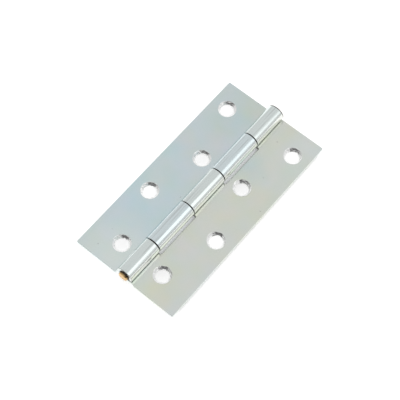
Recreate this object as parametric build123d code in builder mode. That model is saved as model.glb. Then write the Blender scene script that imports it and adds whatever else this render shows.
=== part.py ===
# Narrow butt hinge: two pressed steel leaves, their edges rolled into five knuckles round one pin.
# It lies open on its back. X runs across the leaves, Y along the pin and Z up from the back.
# The origin is on the back, under the middle of the pin.
import os
from math import asin, degrees

from build123d import *

# Driving dimensions, in millimetres
LEAF_LENGTH = 100.0
LEAF_WIDTH = 25.75          # pin axis to free edge
SHEET = 1.5                 # thickness of the steel
LEAF_CORNER = 0.5           # rounding of the free corners, seen from above
DIE_ROLL = 0.35             # rounding that blanking leaves on the upper edges

PIN_DIAMETER = 5.0
PIN_FIT = 0.03              # radial play of the pin in the knuckles that turn on it
PIN_PROUD = 0.7             # how far each end of the pin stands out past the leaves
PIN_TAPER = 1.2             # length of its tapered ends
PIN_FLAT = 4.0              # diameter of the flat on each end

MIDDLE_KNUCKLE = 20.0       # joint to joint
END_KNUCKLE = 18.0          # leaf end to joint
FRONT_SET_BACK = 0.5        # from the leaf's front end to the front knuckle
KNUCKLE_GAP = 0.4           # open space at each joint
KNUCKLE_BEVEL = 0.2         # on the knuckles' outer rims
SEAM_GAP = 0.6              # between the end of the roll and its own leaf
NOTCH_GAP = 0.7             # between the barrel's side and the edge of the other leaf's notch

HOLES = 4                   # in each leaf, alternating between two rows
HOLE_DIAMETER = 5.4
SINK_DIAMETER = 8.1
SINK_ANGLE = 90.0
HOLE_END_INSET = 11.3       # leaf end to the nearest hole
OUTER_ROW_INSET = 7.8       # free edge to the outer row
INNER_ROW_INSET = 6.2       # notch edge to the inner row

# What follows from them
pin_radius = PIN_DIAMETER / 2
barrel_radius = pin_radius + PIN_FIT + SHEET
axis_height = barrel_radius
notch_edge = barrel_radius + NOTCH_GAP
half_length = LEAF_LENGTH / 2
half_gap = KNUCKLE_GAP / 2
barrel_front = -half_length + FRONT_SET_BACK
inner_joint = MIDDLE_KNUCKLE / 2
outer_joint = half_length - END_KNUCKLE
hole_pitch = (LEAF_LENGTH - 2 * HOLE_END_INSET) / (HOLES - 1)

os.makedirs("parts", exist_ok=True)


def rolled_leaf(side, roll_radius, knuckles):
    """A leaf on the side +1 or -1 of the pin, rolled to an inner radius over the given spans of Y."""
    outer_radius = roll_radius + SHEET
    back = axis_height - outer_radius
    face = back + SHEET
    # A knuckle's sheet runs on into the flat, past the rounded edge of the notches beside it
    root = notch_edge + SHEET
    # The roll turns three quarters round the pin, then on until its outer rim is at the seam
    turn = 270 + degrees(asin((roll_radius - SEAM_GAP) / outer_radius))

    with BuildPart() as leaf:
        # The flat, with its upper edges rounded by the die
        with BuildSketch(Plane.XY.offset(back)) as blank:
            with Locations((side * (notch_edge + LEAF_WIDTH) / 2, 0)):
                Rectangle(LEAF_WIDTH - notch_edge, LEAF_LENGTH)
            free_corners = blank.vertices().sort_by(lambda corner: side * corner.X)[-2:]
            fillet(free_corners, radius=LEAF_CORNER)
        extrude(amount=SHEET)
        fillet(leaf.faces().sort_by(Axis.Z)[-1].edges(), radius=DIE_ROLL)

        # The knuckles: the sheet goes under the pin, round it and down to the seam
        for start, end in knuckles:
            with BuildSketch(Plane.XZ.offset(-end)):
                with BuildLine():
                    outside = CenterArc((0, axis_height), outer_radius, -90, -side * turn)
                    inside = CenterArc((0, axis_height), roll_radius, -90, -side * turn)
                    Line(outside @ 1, inside @ 1)
                    Polyline(outside @ 0, (side * root, back), (side * root, face), inside @ 0)
                make_face()
            extrude(amount=end - start)
        rims = leaf.edges().filter_by(GeomType.CIRCLE).group_by(SortBy.RADIUS)[-1]
        chamfer(rims, length=KNUCKLE_BEVEL)

        # Countersunk holes, from the far end: outer row, inner row, outer row, inner row
        rows = (LEAF_WIDTH - OUTER_ROW_INSET, notch_edge + INNER_ROW_INSET)
        for number in range(HOLES):
            hole_y = half_length - HOLE_END_INSET - number * hole_pitch
            with Locations((side * rows[number % 2], hole_y, face)):
                CounterSinkHole(HOLE_DIAMETER / 2, SINK_DIAMETER / 2, counter_sink_angle=SINK_ANGLE)
    return leaf


# Leaf with the end and middle knuckles, rolled tight on the pin so that they hold it
three_knuckle_leaf = rolled_leaf(
    side=1,
    roll_radius=pin_radius,
    knuckles=(
        (barrel_front, -outer_joint - half_gap),
        (-inner_joint + half_gap, inner_joint - half_gap),
        (outer_joint + half_gap, half_length),
    ),
)
three_knuckle_leaf.part.label = "three_knuckle_leaf"
export_step(three_knuckle_leaf.part, "parts/three_knuckle_leaf.step")

# Leaf with the two knuckles between them, which turn freely on the pin
two_knuckle_leaf = rolled_leaf(
    side=-1,
    roll_radius=pin_radius + PIN_FIT,
    knuckles=(
        (-outer_joint + half_gap, -inner_joint - half_gap),
        (inner_joint + half_gap, outer_joint - half_gap),
    ),
)
two_knuckle_leaf.part.label = "two_knuckle_leaf"
export_step(two_knuckle_leaf.part, "parts/two_knuckle_leaf.step")

# Pin: a cropped wire with tapered ends, standing a little out of the barrel
pin_end = half_length + PIN_PROUD
taper_start = pin_end - PIN_TAPER
pin_plane = Plane(origin=(0, 0, axis_height), x_dir=(0, 1, 0), z_dir=(1, 0, 0))
with BuildPart() as pin:
    with BuildSketch(pin_plane):
        with BuildLine():
            Polyline(
                (-pin_end, 0),
                (-pin_end, PIN_FLAT / 2),
                (-taper_start, pin_radius),
                (taper_start, pin_radius),
                (pin_end, PIN_FLAT / 2),
                (pin_end, 0),
                close=True,
            )
        make_face()
    revolve(axis=Axis((0, 0, axis_height), (0, 1, 0)))
pin.part.label = "pin"
export_step(pin.part, "parts/pin.step")
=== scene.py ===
from math import asin, atan2, cos, pi, radians, sin, tan

import bmesh
import bpy
from mathutils import Matrix, Vector


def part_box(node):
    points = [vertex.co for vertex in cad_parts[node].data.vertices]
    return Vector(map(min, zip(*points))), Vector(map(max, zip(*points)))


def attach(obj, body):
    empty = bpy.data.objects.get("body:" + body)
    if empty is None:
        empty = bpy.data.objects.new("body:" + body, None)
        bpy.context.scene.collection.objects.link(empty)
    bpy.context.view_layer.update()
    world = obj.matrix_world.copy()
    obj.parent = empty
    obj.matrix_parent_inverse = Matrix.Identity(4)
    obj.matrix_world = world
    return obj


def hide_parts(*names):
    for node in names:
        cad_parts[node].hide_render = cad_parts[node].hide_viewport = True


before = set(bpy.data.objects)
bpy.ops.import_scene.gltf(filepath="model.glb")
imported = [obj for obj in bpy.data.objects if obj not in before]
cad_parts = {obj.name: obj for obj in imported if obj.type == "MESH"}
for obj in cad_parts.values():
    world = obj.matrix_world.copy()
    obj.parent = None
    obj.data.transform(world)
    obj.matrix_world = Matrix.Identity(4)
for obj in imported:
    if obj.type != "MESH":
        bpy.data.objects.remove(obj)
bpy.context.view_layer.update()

# Leaf with three knuckles
# One blank of mild steel sheet, punched and countersunk while flat. Its end and middle fingers are
# then rolled tight round the pin, and the finished leaf is bright zinc plated.
MM = 0.001
pin_low, pin_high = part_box("pin")
_, leaf_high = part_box("three_knuckle_leaf")
pin_radius = (pin_high.x - pin_low.x) / 2
axis_height = (pin_high.z + pin_low.z) / 2
half_length = leaf_high.y
free_edge = leaf_high.x

SHEET = 1.5 * MM
DIE_ROLL = 0.2 * MM           # rounding of the face's edges, where the punch went in
BACK_EDGE = 0.2 * MM          # rounding of the back's edges
LEAF_CORNER = 0.5 * MM        # rounding of the corners, seen from above
NOTCH_CORNER = 0.4 * MM
STEP_FOOT, STEP_TOP = 0.2, 0.8    # most of a front knuckle's set-back that its two corners take up
PIN_FIT = 0.03 * MM           # radial play of the pin in the knuckles that turn on it
KNUCKLE_GAP = 0.4 * MM        # open space at each joint
MIDDLE_KNUCKLE = 20.0 * MM    # joint to joint
END_KNUCKLE = 18.0 * MM       # leaf end to joint
FRONT_SET_BACK = 0.5 * MM     # from the leaf's front end to the front knuckle
SEAM_GAP = 0.6 * MM           # between the end of a roll and its own leaf
NOTCH_GAP = 0.7 * MM          # between the barrel's side and the edge of a notch
EDGE_STEPS = 4                # faces across each rounding
ROLL_STEPS = 96               # and round each roll

HOLES = 4
HOLE_RADIUS = 2.7 * MM
SINK_RADIUS = 4.05 * MM
SINK_ANGLE = radians(90)      # between the sides of a countersink
SINK_RIM = 0.35 * MM          # rounding where a countersink meets the face
SINK_MOUTH = 0.36 * MM        # how far up a countersink the punch has drawn its hole in
MOUTH_BEND = 0.3 * MM         # rounding where that starts
HOLE_EDGE = 0.08 * MM         # rounding where a hole meets the back
HOLE_END_INSET = 11.3 * MM    # leaf end to the nearest hole
OUTER_ROW_INSET = 7.8 * MM    # free edge to the outer row
INNER_ROW_INSET = 6.2 * MM    # notch edge to the inner row
HOLE_STEPS = 64               # faces round each hole

barrel_radius = pin_radius + PIN_FIT + SHEET
notch_edge = barrel_radius + NOTCH_GAP
half_gap = KNUCKLE_GAP / 2
barrel_front = FRONT_SET_BACK - half_length
inner_joint = MIDDLE_KNUCKLE / 2
outer_joint = half_length - END_KNUCKLE
outer_row = free_edge - OUTER_ROW_INSET
inner_row = notch_edge + INNER_ROW_INSET
hole_pitch = (2 * half_length - 2 * HOLE_END_INSET) / (HOLES - 1)


class Wire:
    """An output in a node tree. Sums on it add Math nodes, and make() adds any other node."""

    def __init__(self, tree, socket=None):
        self.tree = tree
        self.socket = socket

    def make(self, kind, settings=None, sockets=None, output=0):
        """A new node of that kind, with its settings made first, then its sockets set or linked."""
        node = self.tree.nodes.new(kind)
        for name, value in (settings or {}).items():
            if name == "stops":
                ramp = node.color_ramp.elements
                for position, _ in value[2:]:
                    ramp.new(position)
                for stop, (position, colour) in zip(ramp, value):
                    stop.position = position
                    stop.color = (*colour, 1)
            else:
                setattr(node, name, value)
        for key, value in (sockets or {}).items():
            if isinstance(value, Wire):
                self.tree.links.new(value.socket, node.inputs[key])
            else:
                node.inputs[key].default_value = value
        return Wire(self.tree, node.outputs[output])

    def out(self, output):
        """Another output of the same node."""
        return Wire(self.tree, self.socket.node.outputs[output])

    def sum(self, operation, first, second):
        """A Math node on two wires or numbers."""
        return self.make("ShaderNodeMath", {"operation": operation}, {0: first, 1: second})

    def __add__(self, other):
        return self.sum("ADD", self, other)

    def __radd__(self, other):
        return self.sum("ADD", other, self)

    def __sub__(self, other):
        return self.sum("SUBTRACT", self, other)

    def __rsub__(self, other):
        return self.sum("SUBTRACT", other, self)

    def __mul__(self, other):
        return self.sum("MULTIPLY", self, other)

    def __rmul__(self, other):
        return self.sum("MULTIPLY", other, self)

    def __truediv__(self, other):
        return self.sum("DIVIDE", self, other)

    def __rtruediv__(self, other):
        return self.sum("DIVIDE", other, self)


def rounded(corners):
    """Points along an open line of (across, along, radius) corners, with the solid on its left.
    Each point comes with its outward direction and with how near it is to the crest of a rounding."""
    spots = [Vector(corner[:2]) for corner in corners]
    line = []
    for before, corner, after, (_, _, radius) in zip(spots, spots[1:], spots[2:], corners[1:]):
        ahead = (corner - before).normalized()
        onward = (after - corner).normalized()
        bend = atan2(ahead.cross(onward), ahead.dot(onward))
        hand = 1 if bend > 0 else -1
        outward = Vector((ahead.y, -ahead.x))
        centre = corner - ahead * radius * tan(abs(bend) / 2) - outward * radius * hand
        for step in range(EDGE_STEPS + 1):
            facing = Matrix.Rotation(bend * step / EDGE_STEPS, 2) @ outward
            line.append((centre + facing * radius * hand, facing, sin(pi * step / EDGE_STEPS)))
    return line


def leaf_blank(name, side, knuckles, roll_angle, roll_radius):
    """A leaf as it is before rolling: flat, with its holes, its fingers straight and rounded edges.
    Its points know which way they face, how far they are on a crest, or below 0 in painted shade, and
    how deep in a countersink."""
    mesh = bmesh.new()
    facing_layer = mesh.verts.layers.float_vector.new("facing")
    crest_layer = mesh.verts.layers.float.new("crest")
    sunk_layer = mesh.verts.layers.float.new("sunk")
    outer_radius = roll_radius + SHEET
    back = axis_height - outer_radius
    inside = 2 * SHEET            # further in from an edge than any rounding reaches

    def point(across, along, height, facing, crest, sunk=0.0):
        """A new point at a distance out from the pin, a place along it and a height over the back."""
        vert = mesh.verts.new((side * across, along, back + height))
        vert[facing_layer] = (side * facing.x, facing.y, facing.z)
        vert[crest_layer] = crest
        vert[sunk_layer] = sunk
        return vert

    def strips(rows, closed=False):
        """Faces between rows of points that follow each other."""
        following = rows[1:] + rows[:1] if closed else rows[1:]
        for row, other in zip(rows, following):
            for corner in range(len(row) - 1):
                mesh.faces.new((row[corner], row[corner + 1], other[corner + 1], other[corner]))

    def chain(verts):
        """The edges of a closed loop of points."""
        following = verts[1:] + verts[:1]
        return [mesh.edges.get(pair) or mesh.edges.new(pair) for pair in zip(verts, following)]

    # The sheet's edge in section, from back to face
    edge = rounded(((-inside, 0, 0), (0, 0, BACK_EDGE), (0, SHEET, DIE_ROLL), (-inside, SHEET, 0)))

    # The outline, as runs from one finger to the next: round the free edge, then through each notch
    front, rear = knuckles[0][0], knuckles[-1][1]
    set_back = front + half_length
    front_notch = [
        (notch_edge, front, min(NOTCH_CORNER, STEP_FOOT * set_back)),
        (notch_edge, -half_length, min(NOTCH_CORNER, STEP_TOP * set_back)),
    ]
    rear_notch = [(notch_edge, half_length, NOTCH_CORNER), (notch_edge, rear, NOTCH_CORNER)]
    runs = [
        [
            (0, front, 0),
            *(front_notch if front > -half_length else []),
            (free_edge, -half_length, LEAF_CORNER),
            (free_edge, half_length, LEAF_CORNER),
            *(rear_notch if rear < half_length else []),
            (0, rear, 0),
        ]
    ]
    for (_, end), (start, _) in reversed(list(zip(knuckles, knuckles[1:]))):
        notch = [(notch_edge, start, NOTCH_CORNER), (notch_edge, end, NOTCH_CORNER)]
        runs.append([(0, start, 0), *notch, (0, end, 0)])
    rims = []
    for number, run in enumerate(runs):
        line = rounded(run)
        first, last = Vector(run[0][:2]), Vector(run[-1][:2])
        line = [(first, line[0][1], 0), *line, (last, line[-1][1], 0)]
        # The outer edge is rubbed bright on its crests, and the notches' walls get painted shade
        rim = []
        for place, outward, _ in line:
            rim.append(
                [
                    point(
                        place.x + outward.x * offset.x,
                        place.y + outward.y * offset.x,
                        offset.y,
                        Vector((outward.x * lean.x, outward.y * lean.x, lean.y)),
                        -lean.x if number else crest,
                    )
                    for offset, lean, crest in edge
                ]
            )
        strips(rim)
        rims.append(rim)

    # The fingers, straight out past the pin's line, with a broken edge round their cut ends and
    # with painted shade on the edges that become the knuckles' rims
    reach = roll_angle * outer_radius
    for rim, next_rim in zip(rims, rims[1:] + rims[:1]):
        loop = rim[-1] + next_rim[0][::-1]
        rows = [loop]
        ends = [(reach * step / ROLL_STEPS, 0, 0) for step in range(1, ROLL_STEPS)]
        for step in range(EDGE_STEPS + 1):
            lean = radians(90) * step / EDGE_STEPS
            ends.append((reach - BACK_EDGE * (1 - sin(lean)), BACK_EDGE * (1 - cos(lean)), lean))
        for out, inset, lean in ends:
            row = []
            for vert in loop:
                facing = vert[facing_layer].copy()
                facing.x = 0
                place = vert.co - Vector((0, 0, back)) - facing * inset
                turned = facing * cos(lean) - Vector((sin(lean), 0, 0))
                row.append(point(-out, place.y, place.z, turned, -vert[crest_layer]))
            rows.append(row)
        strips([[*row, row[0]] for row in rows])
        mesh.faces.new(rows[-1])

    # The countersunk holes, from the far end: outer row, inner row, outer row, inner row
    sink_slope = 1 / tan(SINK_ANGLE / 2)
    mouth_radius = HOLE_RADIUS + SINK_MOUTH
    mouth_height = SHEET - (SINK_RADIUS - mouth_radius) * sink_slope
    bore = rounded(
        (
            (SINK_RADIUS + inside, SHEET, 0),
            (SINK_RADIUS, SHEET, SINK_RIM),
            (mouth_radius, mouth_height, MOUTH_BEND),
            (HOLE_RADIUS, 0, HOLE_EDGE),
            (HOLE_RADIUS + inside, 0, 0),
        )
    )
    rows = (outer_row, inner_row)
    holes = []
    for number in range(HOLES):
        middle = Vector((rows[number % 2], half_length - HOLE_END_INSET - number * hole_pitch))
        hole = []
        for step in range(HOLE_STEPS):
            turn = 2 * pi * step / HOLE_STEPS
            spoke = Vector((cos(turn), sin(turn)))
            hole.append(
                [
                    point(
                        middle.x + spoke.x * offset.x,
                        middle.y + spoke.y * offset.x,
                        offset.y,
                        Vector((spoke.x * lean.x, spoke.y * lean.x, lean.y)),
                        crest,
                        (SHEET - offset.y) / SHEET if lean.y > 0 else 0.0,
                    )
                    for offset, lean, crest in bore
                ]
            )
        strips(hole, closed=True)
        holes.append(hole)

    # Face and back
    for rim_row, hole_row in ((-1, 0), (0, -1)):
        border = chain([spot[rim_row] for rim in rims for spot in rim])
        for hole in holes:
            border += chain([spoke[hole_row] for spoke in hole])
        bmesh.ops.triangle_fill(mesh, use_beauty=True, edges=border)

    bmesh.ops.recalc_face_normals(mesh, faces=mesh.faces)
    blank = bpy.data.meshes.new(name)
    mesh.to_mesh(blank)
    mesh.free()
    leaf = bpy.data.objects.new(name, blank)
    bpy.context.collection.objects.link(leaf)
    return leaf


def roll_tree():
    """Geometry Nodes that turn whatever a blank has past the pin's line round the pin's axis."""
    tree = bpy.data.node_groups.new("roll_fingers", "GeometryNodeTree")
    tree.interface.new_socket("Blank", in_out="INPUT", socket_type="NodeSocketGeometry")
    for size in ("Side", "Axis height", "Outer radius"):
        tree.interface.new_socket(size, in_out="INPUT", socket_type="NodeSocketFloat")
    tree.interface.new_socket("Finish", in_out="INPUT", socket_type="NodeSocketMaterial")
    tree.interface.new_socket("Leaf", in_out="OUTPUT", socket_type="NodeSocketGeometry")
    wire = Wire(tree)
    blank = wire.make("NodeGroupInput")
    side, height, radius = (blank.out(size) for size in ("Side", "Axis height", "Outer radius"))

    across = wire.make("ShaderNodeSeparateXYZ", sockets={0: wire.make("GeometryNodeInputPosition")})
    flat = side * wire.make("ShaderNodeMath", {"operation": "MAXIMUM"}, {0: side * across, 1: 0.0})
    angle = (flat - across) / radius
    start = wire.make("ShaderNodeCombineXYZ", sockets={0: flat, 1: across.out(1), 2: across.out(2)})
    axis = wire.make("ShaderNodeCombineXYZ", sockets={2: height})

    about_pin = {"rotation_type": "Y_AXIS"}
    facing = wire.make("GeometryNodeInputNamedAttribute", {"data_type": "FLOAT_VECTOR"}, {"Name": "facing"})
    turned = wire.make("ShaderNodeVectorRotate", about_pin, {"Vector": facing, "Angle": angle})
    rolled = wire.make("ShaderNodeVectorRotate", about_pin, {"Vector": start, "Center": axis, "Angle": angle})
    kept = wire.make(
        "GeometryNodeStoreNamedAttribute",
        {"data_type": "FLOAT_VECTOR", "domain": "POINT"},
        {"Geometry": blank, "Name": "facing", "Value": turned},
    )
    leaf = wire.make("GeometryNodeSetPosition", sockets={"Geometry": kept, "Position": rolled})
    real = wire.make("GeometryNodeRealizeInstances", sockets={"Geometry": leaf})
    plated = wire.make("GeometryNodeSetMaterial", sockets={"Geometry": real, "Material": blank.out("Finish")})
    tree.links.new(plated.socket, tree.nodes.new("NodeGroupOutput").inputs["Leaf"])
    return tree


def rolled_leaf(name, side, roll_radius, knuckles, finish):
    """A finished leaf: its blank put through the roll tree, with the normals that its sections give."""
    outer_radius = roll_radius + SHEET
    roll_angle = radians(270) + asin((roll_radius - SEAM_GAP) / outer_radius)
    leaf = leaf_blank(name, side, knuckles, roll_angle, roll_radius)
    roll = leaf.modifiers.new("roll", "NODES")
    roll.node_group = roll_fingers
    sizes = {"Side": float(side), "Axis height": axis_height, "Outer radius": outer_radius, "Finish": finish}
    for item in roll_fingers.interface.items_tree:
        if item.name in sizes:
            roll[item.identifier] = sizes[item.name]
    shaped = bpy.data.meshes.new_from_object(leaf.evaluated_get(bpy.context.evaluated_depsgraph_get()))
    leaf.modifiers.remove(roll)
    leaf.data = shaped
    shaped.name = name
    shaped.shade_smooth()
    normals = [facing.vector for facing in shaped.attributes["facing"].data]
    shaped.normals_split_custom_set_from_vertices(normals)
    shaped.attributes.remove(shaped.attributes["facing"])
    return leaf


def new_material(name):
    """A material, and a wire to its Object coordinates."""
    material = bpy.data.materials.new(name)
    material.use_nodes = True
    return material, Wire(material.node_tree).make("ShaderNodeTexCoord", output="Object")


def set_shader(material, sockets):
    """Sets or links the sockets of a material's own shader."""
    shader = material.node_tree.nodes["Principled BSDF"]
    for name, value in sockets.items():
        if isinstance(value, Wire):
            material.node_tree.links.new(value.socket, shader.inputs[name])
        else:
            shader.inputs[name].default_value = value


def noise(place, size, detail, output=0):
    """Noise at a place, with marks of about that size."""
    sockets = {"Vector": place, "Scale": 1 / size, "Detail": detail}
    return place.make("ShaderNodeTexNoise", None, sockets, output)


def eased(value, start, end, low=0.0, high=1.0):
    """A smooth change from low to high while a value goes from start to end."""
    sockets = {"Value": value, "From Min": start, "From Max": end, "To Min": low, "To Max": high}
    return value.make("ShaderNodeMapRange", {"interpolation_type": "SMOOTHSTEP"}, sockets)


def mixed(share, first, second, blend="MIX"):
    """The first colour with that share of the second, each a wire or (red, green, blue)."""
    first, second = (side if isinstance(side, Wire) else (*side, 1) for side in (first, second))
    settings = {"data_type": "RGBA", "blend_type": blend}
    return share.make("ShaderNodeMix", settings, {"Factor": share, 6: first, 7: second}, 2)


def zinc_finish(name, flat_tint, roll_tint, blooms):
    """Bright zinc plating with a tint on the flat, another on the rolls, and soft blooms of film
    colour, each given as (centre, reach, tint, strength), with its lengths in millimetres."""
    worn = (0.86, 0.87, 0.86)
    painted_shade = (0.12, 0.115, 0.105)
    dull = (0.36, 0.37, 0.37)
    scuffed = (0.52, 0.55, 0.55)
    machined = (0.95, 0.955, 0.95)
    hazy = (0.86, 0.88, 0.9)
    right_light_tint = (0.82, 0.825, 0.785)
    roll_foot, roll_side = SHEET + 0.3 * MM, 0.55 * barrel_radius
    rim_start, rim_end = half_length - 0.6 * MM, half_length - 0.35 * MM

    material, place = new_material(name)
    across = place.make("ShaderNodeSeparateXYZ", None, {0: place})
    along, height = across.out(1), across.out(2)
    on_roll = eased(height, roll_foot, 2 * SHEET)

    # Film colour: blooms whose outlines wander and a faint play of hues, then the rolls' own tint and
    # a little cloudiness all over
    bloom_wander, wander_size = 12 * MM, 14 * MM
    hue_spread, hue_size = (0.28, 0.08, 0.45), 9 * MM
    cloud_share, cloud_size = 0.1, 4 * MM
    wander = noise(place, wander_size, 2, "Color")
    shift = place.make("ShaderNodeVectorMath", {"operation": "SUBTRACT"}, {0: wander, 1: (0.5, 0.5, 0.5)})
    warped = place.make(
        "ShaderNodeVectorMath",
        {"operation": "MULTIPLY_ADD"},
        {0: shift, 1: (bloom_wander, bloom_wander, 0), 2: place},
    )
    flat = place.make("ShaderNodeVectorMath", {"operation": "MULTIPLY"}, {0: warped, 1: (1, 1, 0)})
    colour = flat_tint
    for centre, reach, tint, strength in blooms:
        middle = Vector((*centre, 0)) * MM
        away = place.make("ShaderNodeVectorMath", {"operation": "DISTANCE"}, {0: flat, 1: middle}, "Value")
        colour = mixed(eased(away, 0.0, reach * MM, strength, 0.0), colour, tint)
    hue_base = [(1 - spread) / 2 for spread in hue_spread]
    hues = place.make(
        "ShaderNodeVectorMath",
        {"operation": "MULTIPLY_ADD"},
        {0: noise(place, hue_size, 1, "Color"), 1: hue_spread, 2: hue_base},
    )
    colour = mixed(1 - on_roll, colour, hues, "SOFT_LIGHT")
    # The rolls' right sides take a painted warm tint, standing in for the warmer light from the right
    colour = mixed(on_roll, colour, mixed(eased(across, roll_side, barrel_radius), roll_tint, right_light_tint))
    cloud = noise(place, cloud_size, 3)
    colour = mixed(cloud * cloud_share, colour, hazy, "MULTIPLY")

    # Scuffs drawn along the rolls, and painted shade on the rim at the far end
    scuff_size, scuff_draw, scuff_share = 0.67 * MM, 0.03, 0.6
    pulled = place.make("ShaderNodeMapping", None, {"Vector": place, "Scale": (1.0, scuff_draw, 1.0)})
    scuff = eased(noise(pulled, scuff_size, 2), 0.5, 0.75, 0.0, scuff_share)
    colour = mixed(scuff * on_roll, colour, scuffed)
    colour = mixed(eased(along, rim_start, rim_end) * on_roll, colour, painted_shade)

    # A few dull specks in the plating
    speck_spacing, speck_core, speck_edge = 3 * MM, 0.04, 0.11
    clean_cells, speck_share = 0.8, 0.8
    cells = place.make("ShaderNodeTexVoronoi", None, {"Vector": place, "Scale": 1 / speck_spacing})
    lot = place.make("ShaderNodeSeparateColor", None, {0: cells.out("Color")})
    chosen = place.make("ShaderNodeMath", {"operation": "GREATER_THAN"}, {0: lot, 1: clean_cells})
    speck = chosen * eased(cells, speck_core, speck_edge, 1.0, 0.0)
    colour = mixed(speck * speck_share, colour, dull)

    # Edges, rubbed bright on their crests, with painted shade where the crest is below 0
    worn_share, painted_shade_share = 0.6, 0.8
    crest = place.make("ShaderNodeAttribute", {"attribute_name": "crest"}, output="Fac")
    colour = mixed(crest * worn_share, colour, worn)
    colour = mixed(crest * -painted_shade_share, colour, painted_shade)

    # Countersinks, left bright and a little uneven by the chattering tool
    cut_start, cut_end = 0.02, 0.12
    chatter_size, chatter_height = 1.6 * MM, 0.42 * MM
    sunk = place.make("ShaderNodeAttribute", {"attribute_name": "sunk"}, output="Fac")
    cut = eased(sunk, cut_start, cut_end)
    chatter = cut * (noise(place, chatter_size, 2) - 0.5)
    colour = mixed(cut, colour, machined)

    # Grain of the rolled sheet, drawn out along the pin, and its slight waviness
    grain_size, grain_draw, grain_height = 0.38 * MM, 0.06, 0.0015 * MM
    wave_size, wave_height = 22 * MM, 0.015 * MM
    drawn = place.make("ShaderNodeMapping", None, {"Vector": place, "Scale": (1.0, grain_draw, 1.0)})
    grain = noise(drawn, grain_size, 3)
    wave = noise(place, wave_size, 1)
    in_grains = wave * (wave_height / grain_height) + grain + chatter * (chatter_height / grain_height)
    polish, cloud_haze, grain_haze, speck_haze = 0.15, 0.08, 0.04, 0.25
    relief = {"Height": in_grains, "Strength": 1.0, "Distance": grain_height}
    set_shader(
        material,
        {
            "Base Color": colour,
            "Metallic": 1.0,
            "Roughness": polish + cloud * cloud_haze + grain * grain_haze + speck * speck_haze,
            "Normal": place.make("ShaderNodeBump", None, relief),
        },
    )
    return material


CLEAR_FILM = (0.775, 0.82, 0.78)
COLD_FILM = (0.775, 0.84, 0.825)
PALE_FILM = (0.80, 0.88, 0.86)
STRAW_FILM = (0.80, 0.815, 0.66)
TEAL_FILM = (0.64, 0.765, 0.775)

roll_fingers = roll_tree()
three_knuckle_leaf = rolled_leaf(
    "three_knuckle_leaf_plated",
    side=1,
    roll_radius=pin_radius,
    knuckles=(
        (barrel_front, -outer_joint - half_gap),
        (-inner_joint + half_gap, inner_joint - half_gap),
        (outer_joint + half_gap, half_length),
    ),
    finish=zinc_finish(
        "zinc_with_straw_film",
        flat_tint=CLEAR_FILM,
        roll_tint=COLD_FILM,
        blooms=(
            ((8, -46), 18, PALE_FILM, 0.5),
            ((14, -42), 14, STRAW_FILM, 0.8),
            ((18, 10), 22, STRAW_FILM, 0.55),
            ((6, -16), 20, STRAW_FILM, 0.4),
            ((22, 46), 14, PALE_FILM, 0.3),
            ((6, 44), 16, STRAW_FILM, 0.4),
            ((7, 23), 12, TEAL_FILM, 0.6),
        ),
    ),
)
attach(three_knuckle_leaf, "fixed_leaf")
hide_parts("three_knuckle_leaf")

# Leaf with two knuckles
# The other half, from the same sheet. Its two fingers fill the gaps between the other leaf's
# knuckles and are rolled with a little play, so that they turn on the pin.
SLATE_FILM = (0.70, 0.795, 0.80)
ICE_FILM = (0.74, 0.825, 0.845)
BLUE_FILM = (0.66, 0.81, 0.865)
LILAC_FILM = (0.72, 0.765, 0.80)
GREEN_FILM = (0.70, 0.765, 0.725)

two_knuckle_leaf = rolled_leaf(
    "two_knuckle_leaf_plated",
    side=-1,
    roll_radius=pin_radius + PIN_FIT,
    knuckles=(
        (-outer_joint + half_gap, -inner_joint - half_gap),
        (inner_joint + half_gap, outer_joint - half_gap),
    ),
    finish=zinc_finish(
        "zinc_with_blue_film",
        flat_tint=SLATE_FILM,
        roll_tint=ICE_FILM,
        blooms=(
            ((-20, -20), 24, BLUE_FILM, 0.9),
            ((-22, 4), 16, BLUE_FILM, 0.5),
            ((-10, -46), 26, PALE_FILM, 0.9),
            ((-9, 24), 20, LILAC_FILM, 0.6),
            ((-8, 48), 22, GREEN_FILM, 0.9),
            ((-12, 34), 14, TEAL_FILM, 0.8),
            ((-18, -12), 9, ICE_FILM, 0.8),
        ),
    ),
)
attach(two_knuckle_leaf, "moving_leaf")
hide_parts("two_knuckle_leaf")

# Pin
# A length of brass wire, cropped and tapered to a flat at each end. It is driven through all five
# knuckles, and the ones at the ends and in the middle hold it.
PIN_TAPER = 1.2 * MM          # length of the tapered ends
PIN_FLAT = 2.0 * MM           # radius of the flat on each end
PIN_EDGE = 0.1 * MM           # rounding of its corners
PIN_STEPS = 72                # faces round it
WELD = 0.001 * MM             # points closer than this are one
DARK_BRASS = (0.55, 0.33, 0.12)
BRIGHT_BRASS = (0.83, 0.58, 0.27)
TAPER_SHADE = (0.05, 0.04, 0.03)
TARNISH_SIZE = 1.1 * MM
TARNISH_HAZE = 0.15           # roughness that tarnish adds to the wire's own
WIRE_POLISH = 0.22
SHEAR_SIZE = 0.25 * MM        # width and depth of the shear's marks
SHEAR_DEPTH = 0.01 * MM
SHEAR_DRAW = 0.15             # their width over their length

outline = rounded(
    (
        (0, pin_low.y, 0),
        (PIN_FLAT, pin_low.y, PIN_EDGE),
        (pin_radius, pin_low.y + PIN_TAPER, PIN_EDGE),
        (pin_radius, pin_high.y - PIN_TAPER, PIN_EDGE),
        (PIN_FLAT, pin_high.y, PIN_EDGE),
        (0, pin_high.y, 0),
    )
)
profile = [(0, pin_low.y), *((corner.x, corner.y) for corner, _, _ in outline), (0, pin_high.y)]

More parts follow.
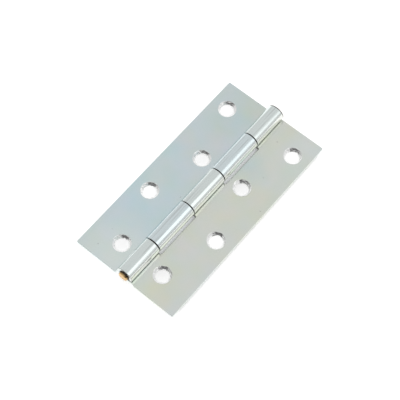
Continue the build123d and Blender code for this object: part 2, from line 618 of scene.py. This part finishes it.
mesh = bmesh.new()
rings = []
for step in range(PIN_STEPS):
    turn = 2 * pi * step / PIN_STEPS
    ring = [(out * sin(turn), along, axis_height + out * cos(turn)) for out, along in profile]
    rings.append([mesh.verts.new(spot) for spot in ring])
for ring, other in zip(rings, rings[1:] + rings[:1]):
    for corner in range(len(profile) - 1):
        mesh.faces.new((ring[corner], ring[corner + 1], other[corner + 1], other[corner]))
bmesh.ops.remove_doubles(mesh, verts=mesh.verts, dist=WELD)
bmesh.ops.recalc_face_normals(mesh, faces=mesh.faces)
pin_mesh = bpy.data.meshes.new("pin_brass")
mesh.to_mesh(pin_mesh)
mesh.free()
pin_mesh.shade_smooth()
pin = bpy.data.objects.new("pin_brass", pin_mesh)
bpy.context.collection.objects.link(pin)

# Tarnish all over, painted shade on the taper and shank, and marks of the shear down the flats
brass, place = new_material("brass")
tarnish = noise(place, TARNISH_SIZE, 4)
stops = ((0.3, DARK_BRASS), (0.65, BRIGHT_BRASS))
colour = place.make("ShaderNodeValToRGB", {"stops": stops}, {"Fac": tarnish})
spoke = place.make(
    "ShaderNodeVectorMath",
    {"operation": "MULTIPLY_ADD"},
    {0: place, 1: (1, 0, 1), 2: (0, 0, -axis_height)},
)
from_axis = place.make("ShaderNodeVectorMath", {"operation": "LENGTH"}, {0: spoke}, "Value")
drag = place.make("ShaderNodeMapping", None, {"Vector": place, "Scale": (1.0, 1.0, SHEAR_DRAW)})
relief = {"Height": noise(drag, SHEAR_SIZE, 3), "Strength": 1.0, "Distance": SHEAR_DEPTH}
set_shader(
    brass,
    {
        "Base Color": mixed(eased(from_axis, PIN_FLAT, pin_radius - PIN_EDGE), colour, TAPER_SHADE),
        "Metallic": 1.0,
        "Roughness": WIRE_POLISH + tarnish * TARNISH_HAZE,
        "Normal": place.make("ShaderNodeBump", None, relief),
    },
)
pin.data.materials.append(brass)
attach(pin, "fixed_leaf")
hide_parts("pin")

# Floor, light and camera
# A sheet of white paper on a table that glows, with painted shade in the glow under the hinge and along its
# edges, in a light tent with a softbox on the right. The tent is open to a dim room in front, and its skirt
# on the right is in shade.
FLOOR_HALF = 12.0
PAPER_DARK = (0.93, 0.93, 0.93)
PAPER_LIGHT = (0.95, 0.95, 0.95)
PAPER_GRAIN = 1.1 * MM
PAPER_ROUGHNESS = 0.9
PAPER_SHEEN = 0.1
TABLE_GLOW = 0.56
END_FADE = 6 * MM             # where the painted shade under the leaves fades out at their ends
GLOW_WITH_PAINTED_SHADE = (                      # its level from one free edge to just past the other, lowered under the hinge and beside its edges as painted shade
    (-free_edge, TABLE_GLOW),
    (-outer_row, 0.37),
    (-inner_row, 0.30),
    (-notch_edge, 0.40),
    (pin_radius, 0.33),
    (notch_edge, 0.16),
    (inner_row, 0.28),
    (outer_row, 0.43),
    (free_edge, 0.25),
    (free_edge + SHEET, TABLE_GLOW),
)
floor_mesh = bpy.data.meshes.new("floor")
corners = [(-1, -1), (1, -1), (1, 1), (-1, 1)]
floor_mesh.from_pydata([(x * FLOOR_HALF, y * FLOOR_HALF, 0) for x, y in corners], [], [(0, 1, 2, 3)])
floor = bpy.data.objects.new("floor", floor_mesh)
bpy.context.collection.objects.link(floor)

paper, place = new_material("white_paper")
across = place.make("ShaderNodeSeparateXYZ", None, {0: place})
along = place.make("ShaderNodeMath", {"operation": "ABSOLUTE"}, {0: across.out(1)})
glow_start, glow_end = GLOW_WITH_PAINTED_SHADE[0][0], GLOW_WITH_PAINTED_SHADE[-1][0]
glow_span = glow_end - glow_start
glow_with_painted_shade = place.make(
    "ShaderNodeValToRGB",
    {"stops": [((spot - glow_start) / glow_span, (level, level, level)) for spot, level in GLOW_WITH_PAINTED_SHADE]},
    {"Fac": (across - glow_start) / glow_span},
)
past_end = eased(along, half_length - END_FADE, half_length)
set_shader(
    paper,
    {
        "Base Color": mixed(noise(place, PAPER_GRAIN, 2), PAPER_DARK, PAPER_LIGHT),
        "Roughness": PAPER_ROUGHNESS,
        "Specular IOR Level": PAPER_SHEEN,
        "Emission Color": mixed(past_end, glow_with_painted_shade, (TABLE_GLOW, TABLE_GLOW, TABLE_GLOW)),
        "Emission Strength": 1.0,
    },
)
floor_mesh.materials.append(paper)

scene = bpy.context.scene
scene.view_settings.view_transform = "Standard"

TENT_GREY = 0.74
ROOM_WAY = Vector((0.26, -0.97, 0)).normalized()
ROOM_CORE = radians(52)       # half angle of the dim part, and of the opening's soft edge
ROOM_EDGE = radians(64)
ROOM_HEAD = radians(34)       # height of the dim part, and of the soft edge above it
ROOM_TOP = radians(44)
ROOM_SHADE = 0.84
SKIRT_SHADE = 0.45
SKIRT_FOOT, SKIRT_TOP = 0.05, 0.2     # share of the way up over which the skirt's shade fades out
SKIRT_START, SKIRT_FULL = 0.3, 0.8    # share of the way to the right over which it comes in

tent = bpy.data.worlds.new("light_tent")
tent.use_nodes = True
scene.world = tent
way = Wire(tent.node_tree).make("ShaderNodeTexCoord", output="Generated")
toward_room = way.make("ShaderNodeVectorMath", {"operation": "DOT_PRODUCT"}, {0: way, 1: ROOM_WAY}, "Value")
right = way.make("ShaderNodeSeparateXYZ", None, {0: way})
up = right.out(2)
under_top = eased(up, sin(ROOM_HEAD), sin(ROOM_TOP), ROOM_SHADE, 0.0)
room = eased(toward_room, cos(ROOM_EDGE), cos(ROOM_CORE)) * under_top
skirt = eased(up, SKIRT_FOOT, SKIRT_TOP, SKIRT_SHADE, 0.0) * eased(right, SKIRT_START, SKIRT_FULL)
strength = TENT_GREY * (1 - room) * (1 - skirt)
tent.node_tree.links.new(strength.socket, tent.node_tree.nodes["Background"].inputs["Strength"])
tent.node_tree.nodes["Background"].inputs["Color"].default_value = (1, 1, 1, 1)

SOFTBOX_WAY = Vector((0.655, 0.2, 0.66)).normalized()
SOFTBOX_DISTANCE = 0.9
SOFTBOX_SIZE = 0.54
SOFTBOX_RADIANCE = 0.6

light = bpy.data.lights.new("softbox_right", "AREA")
light.size = SOFTBOX_SIZE
light.energy = SOFTBOX_RADIANCE * pi * SOFTBOX_SIZE**2
softbox = bpy.data.objects.new("softbox_right", light)
bpy.context.collection.objects.link(softbox)
softbox.location = SOFTBOX_WAY * SOFTBOX_DISTANCE
softbox.rotation_euler = SOFTBOX_WAY.to_track_quat("Z", "Y").to_euler()

AZIMUTH = radians(37.40)
ELEVATION = radians(63.88)
ROLL = radians(2.42)
DISTANCE = 509.6 * MM
AIM = Vector((0.35, -1.93, -0.85)) * MM
FOCAL_PIXELS = 1213.0
PICTURE_PIXELS = 400
SENSOR_WIDTH = 36.0
NEAR_LIMIT = 10 * MM

view = bpy.data.cameras.new("photo_camera")
view.sensor_width = SENSOR_WIDTH
view.lens = SENSOR_WIDTH * FOCAL_PIXELS / PICTURE_PIXELS
view.clip_start = NEAR_LIMIT
camera = bpy.data.objects.new("photo_camera", view)
bpy.context.collection.objects.link(camera)
toward = Vector((sin(AZIMUTH) * cos(ELEVATION), -cos(AZIMUTH) * cos(ELEVATION), sin(ELEVATION)))
camera.location = AIM + toward * DISTANCE
upright = toward.to_track_quat("Z", "Y").to_matrix()
camera.rotation_euler = (upright @ Matrix.Rotation(ROLL, 3, "Z")).to_euler()
scene.camera = camera
